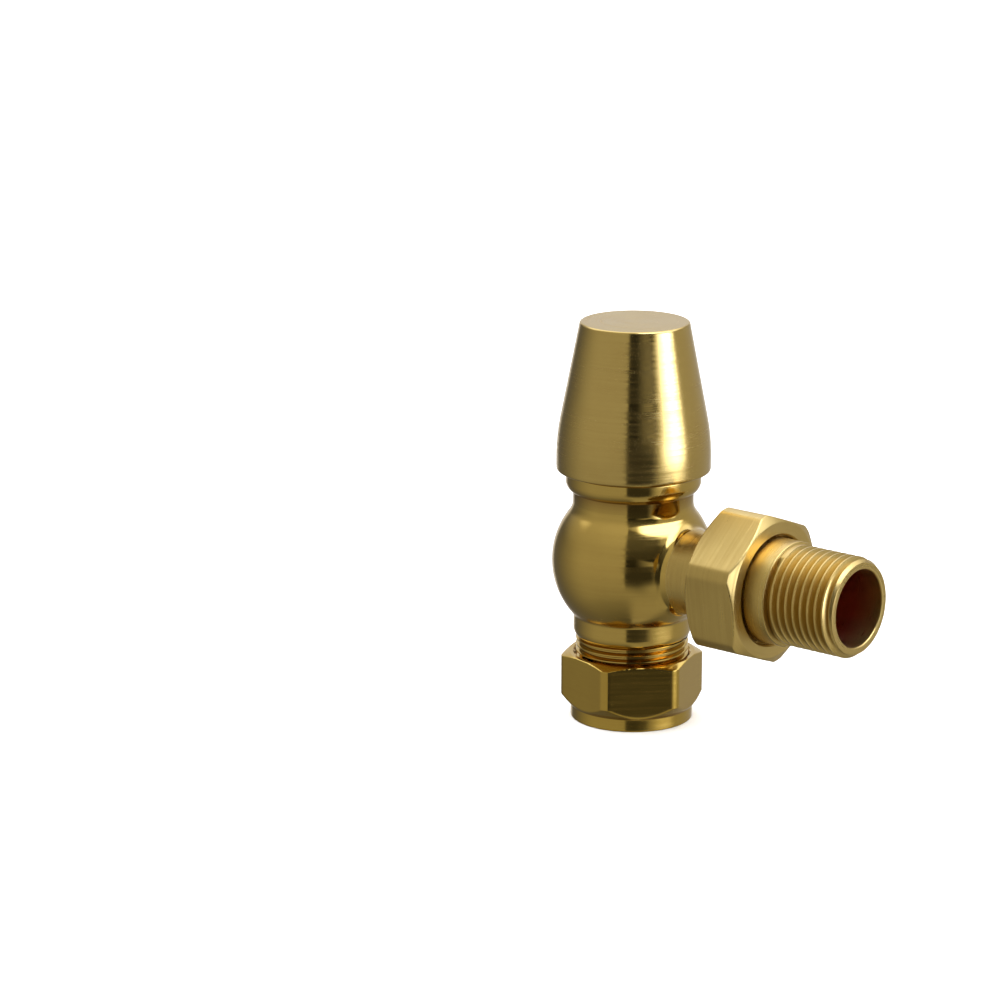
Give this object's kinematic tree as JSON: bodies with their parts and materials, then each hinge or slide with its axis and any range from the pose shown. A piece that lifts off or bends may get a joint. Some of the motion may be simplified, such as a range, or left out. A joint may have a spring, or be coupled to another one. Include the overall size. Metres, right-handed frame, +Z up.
{
  "type": "lockshield radiator valve",
  "caption": "Angled brass lockshield radiator valve: ball-shaped body, tapered push-on cap, compression inlet below and a union tail to the radiator.",
  "frame": {"origin": "centre of the pipe entry, in the bottom face of the compression nut, on the spindle's axis", "axes": "+Z up along the spindle towards the cap, +X along the radiator tail towards the radiator"},
  "size_m": [0.0755, 0.0344, 0.086],
  "materials": {
    "satin_brass": "brushed",
    "bright_brass": "polished",
    "dark_brass": "turned, lightly aged",
    "inner_brass": "turned",
    "seal_rubber": "matte",
    "gland_packing": "PTFE",
    "clip_steel": "spring steel"
  },
  "bodies": {
    "valve": {"valve_body": "bright_brass", "bonnet": "inner_brass", "bonnet_seal": "seal_rubber", "gland_nut": "inner_brass", "gland_packing": "gland_packing", "gland_washer": "inner_brass"},
    "cap_ring": {"cap_grip_ring": "seal_rubber"},
    "cap": {"lockshield_cap": "satin_brass"},
    "disc": {"disc_holder": "inner_brass", "disc_seal": "seal_rubber", "disc_screw": "clip_steel"},
    "spindle": {"spindle": "inner_brass", "spindle_circlip": "clip_steel", "spindle_o_ring_lower": "seal_rubber", "spindle_o_ring_upper": "seal_rubber"},
    "olive": {"olive": "inner_brass"},
    "compression_nut": {"compression_nut": "dark_brass"},
    "union_seal": {"union_o_ring": "seal_rubber"},
    "union_nut": {"union_nut": "satin_brass"},
    "tail": {"radiator_tail": "bright_brass"}
  },
  "joints": [
    {"name": "cap_lift", "type": "slide", "parent": "valve", "child": "cap_ring", "axis": [0, 0, 1], "range_m": [0, 0.032]},
    {"name": "cap_turn", "type": "hinge", "parent": "cap_ring", "child": "cap", "pos_m": [0, 0, 0.064], "axis": [0, 0, 1], "continuous": true},
    {"name": "disc_lift", "type": "slide", "parent": "valve", "child": "disc", "axis": [0, 0, 1], "range_m": [0, 0.004]},
    {"name": "spindle_turn", "type": "hinge", "parent": "disc", "child": "spindle", "pos_m": [0, 0, 0.06], "axis": [0, 0, 1], "range_deg": [0, 1440]},
    {"name": "olive_drop", "type": "slide", "parent": "valve", "child": "olive", "axis": [0, 0, -1], "range_m": [0, 0.00668]},
    {"name": "compression_nut_turn", "type": "hinge", "parent": "olive", "child": "compression_nut", "pos_m": [0, 0, 0.007], "axis": [0, 0, -1], "range_deg": [0, 1800]},
    {"name": "union_slide", "type": "slide", "parent": "valve", "child": "union_seal", "axis": [1, 0, 0], "range_m": [0, 0.00726]},
    {"name": "union_nut_turn", "type": "hinge", "parent": "union_seal", "child": "union_nut", "pos_m": [0.031, 0, 0.0345], "axis": [1, 0, 0], "range_deg": [0, 1440]},
    {"name": "tail_turn", "type": "hinge", "parent": "union_seal", "child": "tail", "pos_m": [0.045, 0, 0.0345], "axis": [1, 0, 0], "continuous": true}
  ],
  "couplings": [
    {"joint": "spindle_turn", "follows": "disc_lift", "rad_per_m": 6283.2},
    {"joint": "compression_nut_turn", "follows": "olive_drop", "rad_per_m": 4699.5},
    {"joint": "union_nut_turn", "follows": "union_slide", "rad_per_m": 3463.7}
  ]
}
